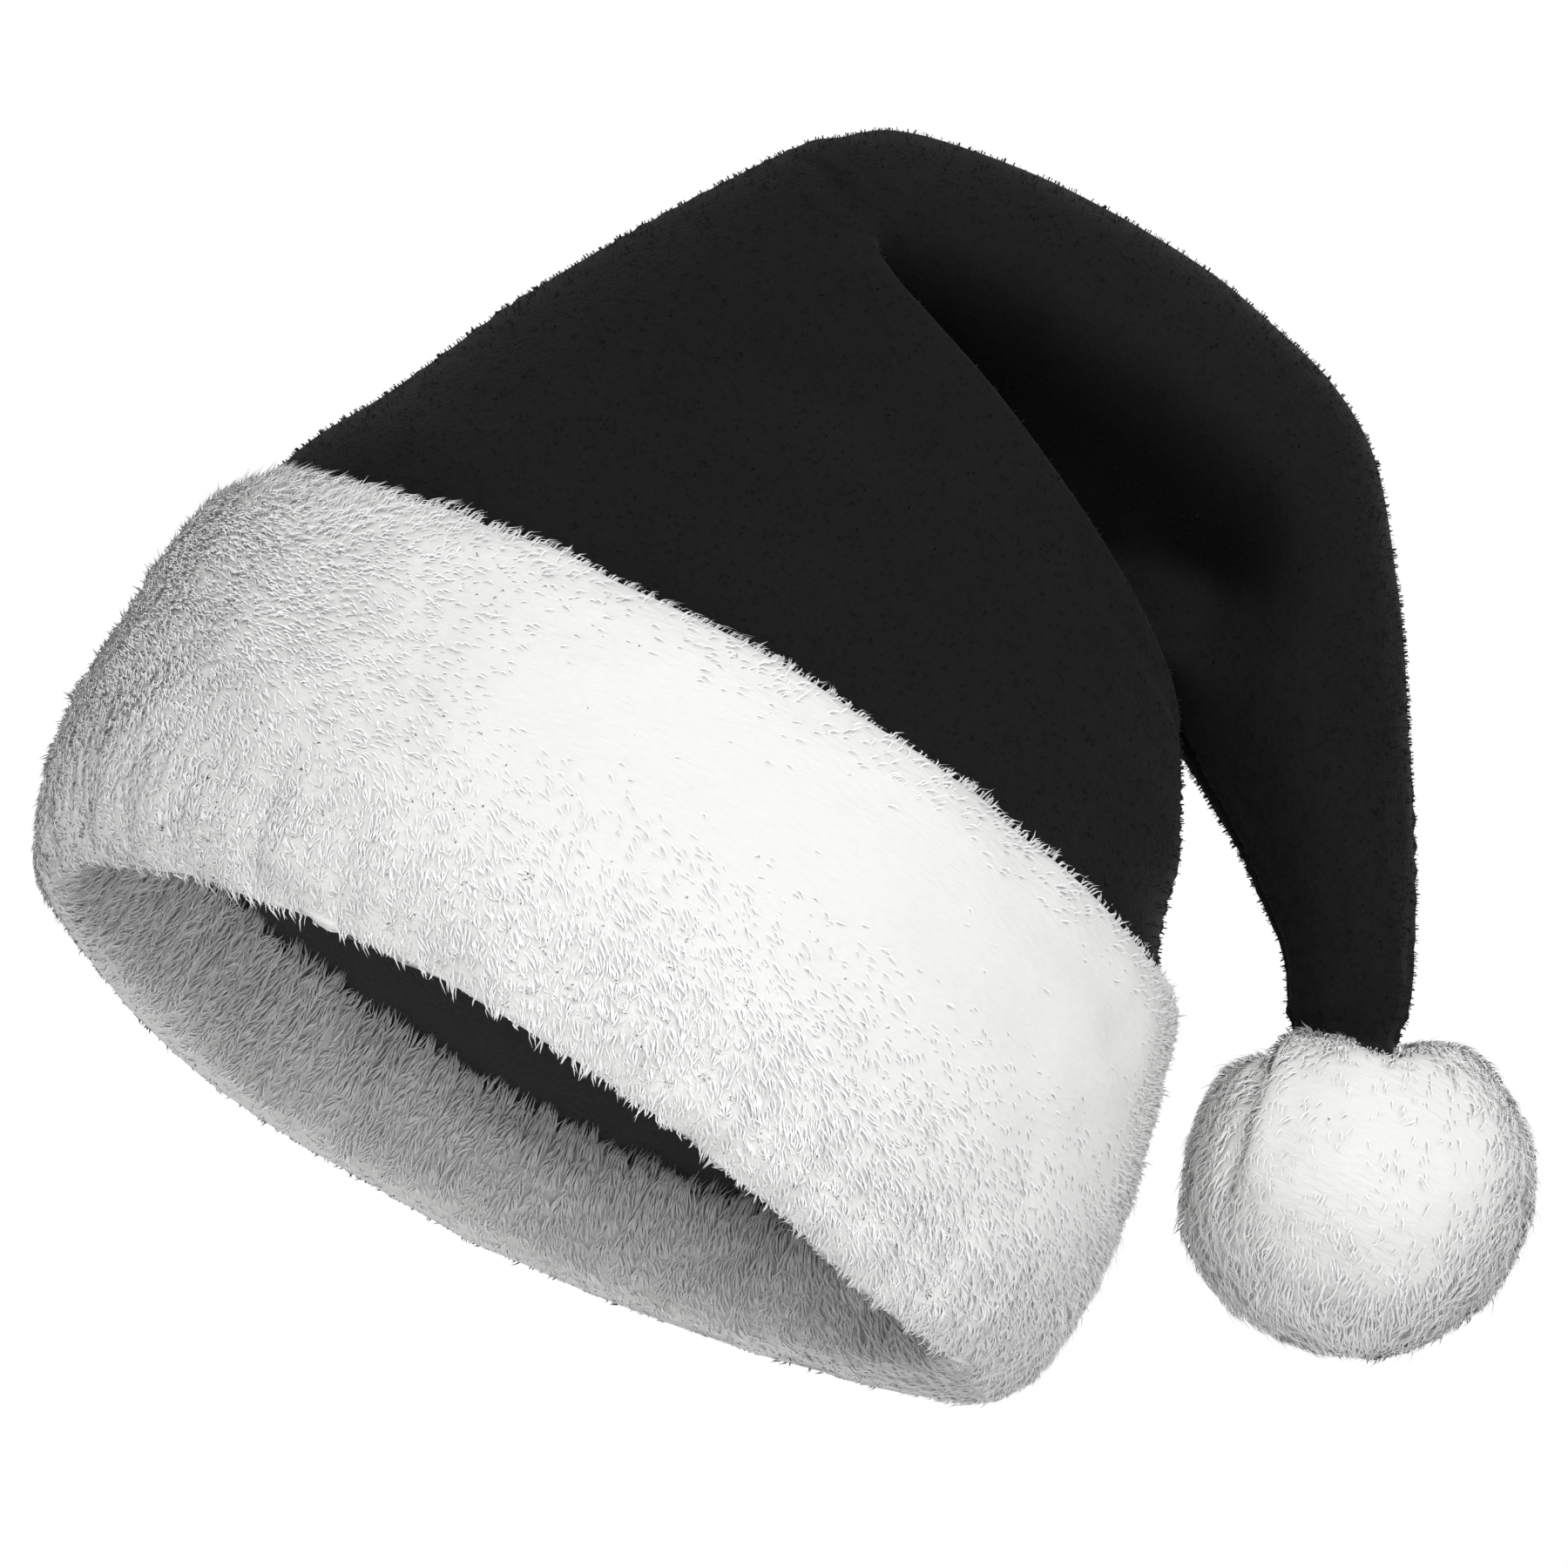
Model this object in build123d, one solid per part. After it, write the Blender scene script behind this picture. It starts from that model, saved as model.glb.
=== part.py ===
from build123d import *
import os
from math import cos, radians, sin, sqrt

# A soft plush hat with a deep turned-up cuff, a crown that folds over to one side in a pleat, a
# tapering tail and a pompom. Millimetres. Origin: centre of the head opening, in the plane of the
# cuff's bottom edge. +Z runs up the crown, +X is the side that the tail falls to, -Y is the front.

# Head opening, measured inside the pile of the hem
opening_width = 205.0
opening_depth = 165.0

# Cloth thicknesses, pile included
plush_cloth = 3.0          # short black plush of the crown and tail
lining_cloth = 0.8         # smooth knitted lining
cuff_pile = 9.5            # long white plush, outer face of the cuff at its foot
cuff_top_spine_pile = 6.5  # the same plush where the cuff's top edge is turned in, spine side
cuff_top_tail_pile = 11.0  # and on the side that the tail falls to
hem_pile_step = 5.0        # how far the hem's pile stands in front of the lining
pompom_pile = 9.5          # long white plush of the pompom's cover

# Cuff: one plush strip, folded at the bottom, its inner edge the hem
cuff_height = 98.0         # at the middle of the front
hem_height = 28.0
cuff_foot_radius = 13.0    # roll of the outer bottom edge
hem_foot_radius = 2.0      # roll of the inner bottom edge
cuff_top_radius = 6.0      # roll of the top edge
cuff_belly = 1.8           # how far the plush swells out half way up

# Clearances and threads
clearance = 0.3            # between layers of cloth, and across the joints
seam_gap = 1.8             # between the two panels along a seam
seam_play = 0.1            # between a seam's thread and the cloth beside it
thread_size = 1.1          # hand-stitch thread, width and height of its line

# Crown rings above the foot of the crown cloth. Each gives, in order: height of the spine side
# above the cuff's height, height of the under side above it, and how far the ring has drawn in
# from the foot on the spine side, on the under side, and at the front and back.
crown_rings = [
    (5.5, -4.5, 3.6, 9.6, 15.6),
    (32.0, 18.0, 17.6, 14.1, 23.6),
    (66.0, 34.0, 35.6, 20.1, 31.6),
    (110.0, 45.0, 65.6, 25.6, 41.6),
]

# Fold and tail rings, as (x, z) from the notch where the tail leaves the lip of the pleat: the
# spine point, the under point and the half depth. The spine runs over the top of the fold.
fold_rings = [
    ((-107.0, 88.0), (-29.0, 14.5), 41.0),
    ((-69.0, 95.0), (-23.0, 11.5), 40.0),
    ((-26.0, 89.5), (-14.5, 7.0), 38.0),
    ((8.5, 75.5), (-6.0, 5.0), 35.5),
]
tail_upper_rings = [
    ((30.5, 46.5), (4.0, -2.0), 31.0),
    ((44.0, 20.0), (14.0, -10.0), 27.0),
]
tail_lower_rings = [
    ((56.0, -5.5), (25.0, -19.5), 21.0),
]
fold_root_inset = 32.0     # from the notch back to the fold's under edge, along the lip
fold_root_depth = 43.0     # half depth of the fold where it rises out of the pleat

# Tail end and pompom
tail_end_width = 22.0
tail_end_depth = 17.0
tail_end_rise = 10.0       # from the knot up to where the tail starts to close
tail_tip_radius = 2.6
tail_end_lean = 25.3       # degrees from straight down, outwards
pompom_radius = 37.0
pompom_flat_radius = 16.7  # the gathered, flattened top
pompom_drop = 72.0         # from the notch down to the pompom's centre
pompom_rest_gap = 6.0      # between the pompom and the side of the cuff
knot_radius = 2.4
gather_hole_radius = 2.0

ring_steps = 3             # flats along the cloth between one ring and the next

# Lining crown: how far its two closing rings draw in, and where they stand between the last two
# crown rings
lining_close = [(0.35, 16.0), (0.62, 38.0)]


def point(x, z):
    return Vector(x, 0, z)


class Ring:
    """An ellipse across the hat: a spine point and an under point in the XZ plane, which end its
    long axis, and a half depth along Y. Its normal runs on along the hat, towards the pompom."""

    def __init__(self, spine, under, depth):
        self.spine, self.under, self.depth = spine, under, depth

    def centre(self):
        return (self.spine + self.under) * 0.5

    def across(self):
        return (self.spine - self.under).normalized()

    def normal(self):
        return self.across().cross(Vector(0, -1, 0))

    def grown(self, by):
        """The ring with its edge moved out by a distance, or in by a negative one."""
        step = self.across() * by
        return Ring(self.spine + step, self.under - step, self.depth + by)

    def moved(self, by):
        """The ring moved along its normal."""
        step = self.normal() * by
        return Ring(self.spine + step, self.under + step, self.depth)

    def face(self):
        plane = Plane(origin=self.centre(), x_dir=self.across(), z_dir=self.normal())
        half_width = (self.spine - self.under).length / 2
        return plane * Ellipse(half_width, self.depth)


def between(a, b, c, d, share):
    """A value between b and c on a smooth curve through four values in a row (Catmull-Rom)."""
    curve = (b * 2 + (c - a) * share) + (a * 2 - b * 5 + c * 4 - d) * share**2
    return (curve + (b * 3 - a - c * 3 + d) * share**3) * 0.5


def finer(rings):
    """The same rings with more between them, on smooth curves through their ends and depths."""
    row = [rings[0]] + list(rings) + [rings[-1]]
    found = []
    for four in zip(row, row[1:], row[2:], row[3:]):
        for step in range(ring_steps):
            share = step / ring_steps
            spine = between(*[ring.spine for ring in four], share)
            under = between(*[ring.under for ring in four], share)
            depth = between(*[ring.depth for ring in four], share)
            found.append(Ring(spine, under, depth))
    return found + [rings[-1]]


def tube(rings):
    """A solid through the rings, with a straight span from each to the next."""
    spans = [loft([a.face(), b.face()], ruled=True) for a, b in zip(rings, rings[1:])]
    return spans[0].fuse(*spans[1:], glue=True) if len(spans) > 1 else spans[0]


def slab(low, high):
    """A box between two corners."""
    size = [h - l for l, h in zip(low, high)]
    middle = [(h + l) / 2 for l, h in zip(low, high)]
    return Pos(*middle) * Box(*size)


REACH = 600.0  # larger than the hat


def front_half(shell):
    return shell & slab((-REACH, -REACH, -REACH), (REACH, -seam_gap / 2, REACH))


def back_half(shell):
    return shell & slab((-REACH, seam_gap / 2, -REACH), (REACH, REACH, REACH))


def seam_lines(shell):
    """The lines of thread between the panels, in the middle plane."""
    half = seam_gap / 2 - seam_play
    return (shell & slab((-REACH, -half, -REACH), (REACH, half, REACH))).solids()


def write(shape, name):
    solids = shape.solids() if hasattr(shape, "solids") else shape
    whole = solids[0] if len(solids) == 1 else Compound(children=list(solids))
    whole.label = name
    export_step(whole, os.path.join("parts", name + ".step"))


def write_panels(shell, name):
    """Cuts a shell into its front and back panels."""
    write(front_half(shell), name + "_front_panel")
    write(back_half(shell), name + "_back_panel")


def write_seams(shell, name, along):
    """The two seams of an open shell. The spine seam is the one further along a direction."""
    under, spine = sorted(seam_lines(shell), key=lambda s: s.center().dot(Vector(*along)))
    write(spine, name + "_spine_seam")
    write(under, name + "_under_seam")


# ---- Sizes that follow from the ones above ----
foot_step = hem_pile_step + lining_cloth + clearance + plush_cloth
foot_width = opening_width / 2 + foot_step
foot_depth = opening_depth / 2 + foot_step
cuff_foot_width = foot_width + clearance + cuff_pile
cuff_foot_depth = foot_depth + clearance + cuff_pile


def crown_ring(spine_height, under_height, spine_in, under_in, depth_in):
    spine = point(-foot_width + spine_in, cuff_height + spine_height)
    under = point(foot_width - under_in, cuff_height + under_height)
    return Ring(spine, under, foot_depth - depth_in)


seat = hem_height + clearance
foot_ring = Ring(point(-foot_width, seat), point(foot_width, seat), foot_depth)
crown = [foot_ring] + [crown_ring(*row) for row in crown_rings]
lip = crown[-1]
notch = lip.under


def from_notch(spine, under, depth):
    return Ring(notch + point(*spine), notch + point(*under), depth)


root_under = notch + lip.across() * fold_root_inset
fold_root = Ring(lip.spine - lip.across() * 0.5, root_under, fold_root_depth)
fold = [fold_root] + [from_notch(*row) for row in fold_rings]
tail_fold_ring = fold[-1]
tail_upper = [from_notch(*row) for row in tail_upper_rings]
tail_bend_ring = tail_upper[-1]

# The cuff's side at a height, and the pompom hanging beside it
top_pile = (cuff_top_spine_pile + cuff_top_tail_pile) / 2
top_lean = crown[1].across() * (cuff_top_spine_pile - top_pile)
top_ring = crown[1].grown(clearance + top_pile)
top_ring = Ring(top_ring.spine + top_lean, top_ring.under + top_lean, top_ring.depth)
foot_roll_ring = Ring(point(-cuff_foot_width, 0), point(cuff_foot_width, 0), cuff_foot_depth)
belly_ring = Ring(
    (foot_roll_ring.spine + top_ring.spine) * 0.5,
    (foot_roll_ring.under + top_ring.under) * 0.5,
    (foot_roll_ring.depth + top_ring.depth) * 0.5,
).grown(cuff_belly)
pompom_height = notch.Z - pompom_drop
share_up = pompom_height / top_ring.under.Z
cuff_side = cuff_foot_width + (top_ring.under.X - cuff_foot_width) * share_up + cuff_belly
pompom_centre = point(cuff_side + pompom_rest_gap + pompom_radius, pompom_height)
lean = radians(tail_end_lean)
hang = point(sin(lean), -cos(lean))
pompom_flat = sqrt(pompom_radius**2 - pompom_flat_radius**2)
knot = pompom_centre - hang * (pompom_flat + knot_radius + clearance)


def end_ring(rise, half_width, half_depth):
    """A ring square to the tail's end, a distance above the knot."""
    middle = knot - hang * rise
    side = point(cos(lean), sin(lean))
    return Ring(middle + side * half_width, middle - side * half_width, half_depth)


closing = end_ring(tail_end_rise, tail_end_width / 2, tail_end_depth / 2)
tip = end_ring(knot_radius + clearance, tail_tip_radius, tail_tip_radius)
tail_lower = [from_notch(*row) for row in tail_lower_rings] + [closing]


# ---- The pieces ----
def crown_outside(grow=0.0):
    """The crown's outer shape from the hem's top edge up, grown by a distance."""
    rings = finer(crown)
    return tube([ring.grown(grow) for ring in [rings[0].moved(-clearance)] + rings])


def crown_shell():
    """Crown cloth from the hem up to the lip, turned in under the lip to meet the fold."""
    rings = finer(crown)
    rise = finer(fold)
    outside = tube(rings) + tube([rise[0].moved(-plush_cloth / 2)] + rise)
    rings = [foot_ring.moved(-1.0)] + rings[:-1] + [lip.moved(-plush_cloth)]
    hollow = [rise[0].moved(-2 * plush_cloth)] + rise + [tail_fold_ring.moved(1.0)]
    inside = tube([ring.grown(-plush_cloth) for ring in rings])
    return outside - inside - tube([ring.grown(-plush_cloth) for ring in hollow])


def lining_shell():
    """Smooth inner cone, closed below the pleat."""
    back = -plush_cloth - clearance

    def cone(extra):
        rings = [ring.grown(back - extra) for ring in finer(crown)[:-ring_steps]]
        last, top = crown[-2], lip
        for share, draw_in in lining_close:
            spine = last.spine + (top.spine - last.spine) * share
            under = last.under + (top.under - last.under) * share
            depth = last.depth + (top.depth - last.depth) * share
            rings.append(Ring(spine, under, depth).grown(back - draw_in - extra).moved(-extra))
        return rings

    inner = cone(lining_cloth)
    inner[0] = inner[0].moved(-1.0)
    return tube(cone(0.0)) - tube(inner)


def tail_upper_shell():
    rings = finer([tail_fold_ring.moved(clearance)] + tail_upper)
    inner = [rings[0].moved(-1.0)] + rings + [rings[-1].moved(1.0)]
    return tube(rings) - tube([ring.grown(-plush_cloth) for ring in inner])


def tail_lower_shell(closed):
    """The last of the tail, and if closed also its ends, gathered to a tip over the knot."""
    rings = finer([tail_bend_ring.moved(clearance)] + tail_lower)
    if closed:
        inner = [rings[0].moved(-1.0)] + rings[:-1]
        return tube(rings + [tip]) - tube([ring.grown(-plush_cloth) for ring in inner])
    inner = [rings[0].moved(-1.0)] + rings + [closing.moved(1.0)]
    return tube(rings) - tube([ring.grown(-plush_cloth) for ring in inner])


def rims(body):
    """The true elliptical edges of a ring, lowest first."""
    return body.edges().filter_by(GeomType.ELLIPSE).sort_by(Axis.Z)


def cuff_body():
    """The folded plush strip: outer face, rolled foot and hem, with the crown's foot between."""
    body = tube([foot_roll_ring, belly_ring, top_ring])
    body = fillet(rims(body)[0], cuff_foot_radius)
    body = fillet(rims(body)[-1], cuff_top_radius)
    body -= extrude(Ellipse(opening_width / 2, opening_depth / 2), hem_height)
    body = fillet(rims(body)[0], hem_foot_radius)
    return body - crown_outside(clearance)


def top_slab(low, high):
    """The layer between two distances below the cuff's tilted top edge."""
    plane = Plane(origin=top_ring.centre(), x_dir=top_ring.across(), z_dir=top_ring.normal())
    return plane * Pos(0, 0, -(low + high) / 2) * Box(REACH, REACH, high - low)


def cuff_groove():
    return (crown_outside(clearance + thread_size + seam_play) & top_slab(-REACH / 4, thread_size * 2))


def cuff_top_thread():
    """Slip stitches that hold the cuff's turned-in top edge to the crown."""
    ring = crown_outside(clearance + thread_size) - crown_outside(clearance / 2)
    return ring & top_slab(thread_size - seam_play, thread_size * 2 - seam_play)


def hem_thread():
    """Stitches that join the hem's top edge to the lining and the crown's foot."""
    inset = plush_cloth + clearance + lining_cloth + thread_size / 2
    outer = Ellipse(foot_width - inset, foot_depth - inset)
    inner = Ellipse(foot_width - inset - thread_size, foot_depth - inset - thread_size)
    return Pos(0, 0, hem_height + seam_play) * extrude(outer - inner, thread_size)


def back_slot(half):
    return slab((-half, 0, -REACH), (half, REACH, REACH))


pompom_frame = Plane(origin=pompom_centre, x_dir=point(cos(lean), sin(lean)), z_dir=-hang)


def pompom_cover():
    """Plush ball with its opening gathered to a small flat at the top."""
    ball = Sphere(pompom_radius) & Pos(0, 0, pompom_flat - REACH / 2) * Box(REACH, REACH, REACH)
    ball -= Sphere(pompom_radius - pompom_pile)
    ball -= Pos(0, 0, REACH / 2) * Cylinder(gather_hole_radius, REACH)
    return pompom_frame * ball


def pompom_stuffing():
    return pompom_frame * Sphere(pompom_radius - pompom_pile - clearance)


def pompom_gathering_thread():
    outer, inner = gather_hole_radius - seam_play, gather_hole_radius - seam_play - thread_size
    ring = Cylinder(outer, thread_size * 2) - Cylinder(inner, thread_size * 3)
    return pompom_frame * Pos(0, 0, pompom_flat - thread_size) * ring


def tack_knot():
    return Pos(knot.X, knot.Y, knot.Z) * Sphere(knot_radius)


os.makedirs("parts", exist_ok=True)

crown_cloth = crown_shell()
write_panels(crown_cloth, "crown")
write_seams(crown_cloth, "crown", (-1, 0, 0))

lining = lining_shell()
write_panels(lining, "lining")
write(seam_lines(lining), "lining_seam")

tail_upper_cloth = tail_upper_shell()
write_panels(tail_upper_cloth, "tail_upper")
write_seams(tail_upper_cloth, "tail_upper", (1, 0, 1))
write_panels(tail_lower_shell(closed=True), "tail_lower")
write_seams(tail_lower_shell(closed=False), "tail_lower", (1, 0, 1))

cuff = cuff_body() - cuff_groove()
write(cuff - back_slot(seam_gap / 2), "cuff_plush_strip")
write(cuff & back_slot(seam_gap / 2 - seam_play), "cuff_end_seam")
write(cuff_top_thread(), "cuff_top_stitching")
write(hem_thread(), "hem_joining_stitching")

write(pompom_cover(), "pompom_cover")
write(pompom_stuffing(), "pompom_stuffing")
write(pompom_gathering_thread(), "pompom_gathering_thread")
write(tack_knot(), "pompom_tack_knot")
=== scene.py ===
import bpy
import numpy as np
from mathutils import Matrix


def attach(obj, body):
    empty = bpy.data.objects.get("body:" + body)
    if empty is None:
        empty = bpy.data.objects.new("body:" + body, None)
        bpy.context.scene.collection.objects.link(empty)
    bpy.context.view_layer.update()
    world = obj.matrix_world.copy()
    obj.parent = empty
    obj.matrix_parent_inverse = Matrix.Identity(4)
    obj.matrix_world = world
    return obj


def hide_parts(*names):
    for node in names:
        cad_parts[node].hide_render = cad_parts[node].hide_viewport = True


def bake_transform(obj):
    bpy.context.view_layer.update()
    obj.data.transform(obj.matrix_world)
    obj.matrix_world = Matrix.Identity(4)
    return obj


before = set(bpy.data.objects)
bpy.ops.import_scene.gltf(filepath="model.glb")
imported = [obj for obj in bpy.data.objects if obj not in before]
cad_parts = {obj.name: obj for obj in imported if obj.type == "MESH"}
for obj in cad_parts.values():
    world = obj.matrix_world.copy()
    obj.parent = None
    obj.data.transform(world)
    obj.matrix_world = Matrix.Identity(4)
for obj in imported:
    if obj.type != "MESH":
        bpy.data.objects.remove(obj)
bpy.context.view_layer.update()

# ---- Crown and tail: black short-pile plush ----
# Two panels of black plush, sewn up the spine and up the under side into one long cone. The cone
# stands up from the cuff, folds over in a pleat and hangs down at the side. It is one sheet of
# cloth, made here as a column of oval rings that a smooth path runs through.
MM = 0.001


def oval_rings(table, around):
    """Rings, one for each row of (spine x, spine z, under x, under z, half depth), in mm. A point
    is the ring's centre, plus the cosine of its turn times half the long axis, minus the sine
    times the half depth along Y. Turn 0 is the spine, a quarter turn is the front."""
    rows = np.asarray(table, float)[:, None, :]
    turn = around[None, :]
    middle_x, middle_z = (rows[..., 0] + rows[..., 2]) / 2, (rows[..., 1] + rows[..., 3]) / 2
    half_x, half_z = (rows[..., 0] - rows[..., 2]) / 2, (rows[..., 1] - rows[..., 3]) / 2
    x = middle_x + half_x * np.cos(turn)
    z = middle_z + half_z * np.cos(turn)
    return np.stack([x, -rows[..., 4] * np.sin(turn), z], axis=-1)


def smooth_path(controls, steps):
    """A smooth curve through each column of points (Catmull-Rom, with knots spaced by the square
    root of the distances), with so many steps in each span. Returns one row for each step."""
    gaps = np.sqrt(np.linalg.norm(np.diff(controls, axis=0), axis=-1, keepdims=True)) + 1e-3
    slopes = np.diff(controls, axis=0) / gaps
    before, after = gaps[:-1], gaps[1:]
    inner = (slopes[:-1] * after + slopes[1:] * before) / (before + after)
    tangents = np.concatenate([slopes[:1], inner, slopes[-1:]])
    rows = []
    for k, count in enumerate(steps):
        s = (np.arange(count) / count).reshape(-1, 1, 1)
        a, b, gap = controls[k], controls[k + 1], gaps[k]
        rows.append(
            a * (1 + 2 * s) * (1 - s) ** 2
            + tangents[k] * gap * s * (1 - s) ** 2
            + b * s**2 * (3 - 2 * s)
            + tangents[k + 1] * gap * s**2 * (s - 1)
        )
    return np.concatenate(rows + [controls[-1:]])


def soft_noise(u, v, cells_u, cells_v, seed):
    """Smooth random values from -1 to 1: a lattice of random numbers with cells_u by cells_v
    cells over the unit square, joined by smoothsteps. It repeats along u."""
    lattice = np.random.default_rng(seed).uniform(-1, 1, (cells_u, cells_v + 2))
    x, y = np.mod(u, 1.0) * cells_u, np.clip(v, 0, 1) * cells_v
    i, j = np.floor(x).astype(int) % cells_u, np.floor(y).astype(int)
    fx, fy = x - np.floor(x), y - np.floor(y)
    fx, fy = fx * fx * (3 - 2 * fx), fy * fy * (3 - 2 * fy)
    k = (i + 1) % cells_u
    low = lattice[i, j] * (1 - fx) + lattice[k, j] * fx
    high = lattice[i, j + 1] * (1 - fx) + lattice[k, j + 1] * fx
    return low * (1 - fy) + high * fy


def smoothstep(value, low, high):
    """0 below low, 1 above high, and a smooth S between."""
    s = np.clip((value - low) / (high - low), 0, 1)
    return s * s * (3 - 2 * s)


def grid_normals(grid):
    """Unit normals of a closed-round grid of points, from central differences of rows and
    columns, pointing out of the tube when rows run along it and columns turn with the ring."""
    along = np.gradient(grid, axis=0)
    turnwise = np.roll(grid, -1, axis=1) - np.roll(grid, 1, axis=1)
    normal = np.cross(turnwise, along)
    return normal / (np.linalg.norm(normal, axis=-1, keepdims=True) + 1e-9)


def mesh_object(name, points, faces, material, uv=None):
    """A smooth-shaded object from points in mm and faces that all have as many corners."""
    mesh = bpy.data.meshes.new(name)
    mesh.vertices.add(len(points))
    mesh.vertices.foreach_set("co", (points * MM).astype(np.float32).ravel())
    mesh.loops.add(faces.size)
    mesh.loops.foreach_set("vertex_index", faces.astype(np.int32).ravel())
    mesh.polygons.add(len(faces))
    starts = np.arange(0, faces.size, faces.shape[1], dtype=np.int32)
    mesh.polygons.foreach_set("loop_start", starts)
    if uv is not None:
        layer = mesh.uv_layers.new(name="OFBake")
        layer.data.foreach_set("uv", uv.astype(np.float32).ravel())
    mesh.update(calc_edges=True)
    mesh.shade_smooth()
    mesh.materials.append(material)
    piece = bpy.data.objects.new(name, mesh)
    bpy.context.scene.collection.objects.link(piece)
    return piece


def tube_object(name, grid, material, wall=0.0):
    """A closed-round grid as one mesh, with a UV map of turn and row. A wall is a Solidify
    modifier's thickness in mm, laid inwards."""
    rows, columns = grid.shape[:2]
    i, j = np.meshgrid(np.arange(rows - 1), np.arange(columns), indexing="ij")
    k = (j + 1) % columns
    here, above = i * columns, (i + 1) * columns
    faces = np.stack([here + j, here + k, above + k, above + j], -1)
    u = np.stack([j, j + 1, j + 1, j], -1) / columns
    v = np.stack([i, i, i + 1, i + 1], -1) / (rows - 1)
    uv = np.stack([u, v], -1)
    piece = mesh_object(name, grid.reshape(-1, 3), faces.reshape(-1, 4), material, uv.reshape(-1, 2))
    if wall:
        ends = np.empty(2 * len(piece.data.edges), np.int32)
        piece.data.edges.foreach_get("vertices", ends)
        ends = ends.reshape(-1, 2)
        cut = (ends < columns).all(axis=1) | (ends >= (rows - 1) * columns).all(axis=1)
        sharp = piece.data.attributes.new("sharp_edge", "BOOLEAN", "EDGE")
        sharp.data.foreach_set("value", cut)
        solid = piece.modifiers.new("cloth", "SOLIDIFY")
        solid.thickness = wall * MM
        solid.offset = -1.0
        solid.use_even_offset = False
    return piece


def pile_object(name, roots, bends, tips, width, normals, soften, material):
    """Short strands of pile, one for each row of roots. A strand is a low three-sided spike, flat
    side to the cloth: its foot and its bend are triangles across it, the bend's narrower, and it
    closes at the tip. Its shading normals are its own, drawn by the share soften, one for all
    strands or one for each, towards those of the cloth under it."""
    count = len(roots)
    lean = bends - roots
    lean /= np.linalg.norm(lean, axis=-1, keepdims=True) + 1e-9
    aside = np.cross(lean, normals + np.random.default_rng(count).normal(0, 0.15, (count, 3)))
    aside /= np.linalg.norm(aside, axis=-1, keepdims=True) + 1e-9
    spread = np.stack([aside, -aside, 0.5 * np.cross(aside, lean)], axis=1)
    half = (width / 2)[:, None, None]
    foot = roots[:, None] + spread * half
    bend = bends[:, None] + spread * half * 0.8
    points = np.concatenate([foot, bend, tips[:, None]], axis=1)
    spike = [[0, 2, 1]]
    for a, b in ((0, 1), (1, 2), (2, 0)):
        spike += [[a, b, 3 + b], [a, 3 + b, 3 + a], [3 + a, 3 + b, 6]]
    faces = (np.arange(count) * 7)[:, None, None] + np.array(spike)[None]
    share = np.random.default_rng(len(name)).uniform(0.02, 0.98, (count, 1, 1))
    height = np.array([0.0, 0.0, 0.0, 0.5, 0.5, 0.5, 1.0])
    side = np.array([-0.006, 0.0, 0.006, -0.006, 0.0, 0.006, 0.0])
    corner = np.array(spike)
    u = share + side[corner][None]
    v = np.broadcast_to(0.02 + 0.96 * height[corner][None], u.shape)
    piece = mesh_object(name, points.reshape(-1, 3), faces.reshape(-1, 3), material,
                        np.stack([u, v], -1).reshape(-1, 2))
    own = np.concatenate([spread, spread * 0.8 + lean[:, None] * 0.6, lean[:, None]], axis=1)
    soften = np.broadcast_to(soften, count)[:, None, None]
    shaded = own * (1 - soften) + normals[:, None] * soften
    shaded /= np.linalg.norm(shaded, axis=-1, keepdims=True)
    piece.data.normals_split_custom_set_from_vertices(shaded.reshape(-1, 3))
    return piece


# Rings of the crown, from inside the cuff up to the lip of the pleat
crown_rings = [
    (-110.5, 62.0, 109.5, 60.0, 88.0),
    (-107.5, 92.0, 104.5, 88.0, 79.0),
    (-105.5, 108.8, 100.6, 99.0, 75.5),
    (-93.8, 130.0, 97.5, 116.0, 68.0),
    (-76.7, 164.5, 91.5, 132.0, 60.0),
    (-62.2, 188.2, 88.8, 138.5, 54.6),
]
lip_ring = (-48.5, 210.5, 86.0, 143.0, 50.0)
# Rings of the fold, from inside the pleat over the top, and down the tail
pleat_root = (-53.0, 196.0, 56.0, 158.0, 32.0)
fold_rings = [
    (-23.5, 233.2, 56.0, 157.0, 39.5),
    (17.0, 238.5, 62.5, 154.0, 40.0),
    (61.5, 234.6, 71.5, 150.5, 38.5),
    (95.0, 219.3, 80.0, 147.5, 35.5),
]
tail_rings = [
    (116.5, 189.5, 90.0, 141.0, 31.0),
    (130.0, 163.0, 100.0, 133.0, 27.0),
    (142.0, 137.5, 111.5, 124.0, 21.5),
    (150.5, 117.5, 126.0, 109.5, 15.5),
    (153.8, 108.5, 131.0, 99.5, 13.0),
    (154.0, 103.5, 134.5, 94.5, 11.0),
    (155.0, 100.5, 134.0, 91.0, 16.5),
]
turns = 256
around = np.arange(turns) * 2 * np.pi / turns

wall_points = oval_rings(crown_rings, around)
lip = oval_rings([lip_ring], around)[0]
root = oval_rings([pleat_root], around)[0]
fold_points = oval_rings(fold_rings + tail_rings, around)
# The lip's long axis, the way square to it out of the pocket, and the way in from each point
lip_across = np.array([-132.0, 0.0, 65.0]) / np.hypot(132.0, 65.0)
lip_up = np.array([lip_across[2], 0.0, -lip_across[0]])
lip_centre = (lip.max(axis=0) + lip.min(axis=0)) / 2
inward = lip_centre - lip
inward -= (inward @ lip_up)[:, None] * lip_up
inward /= np.linalg.norm(inward, axis=-1, keepdims=True)

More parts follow.
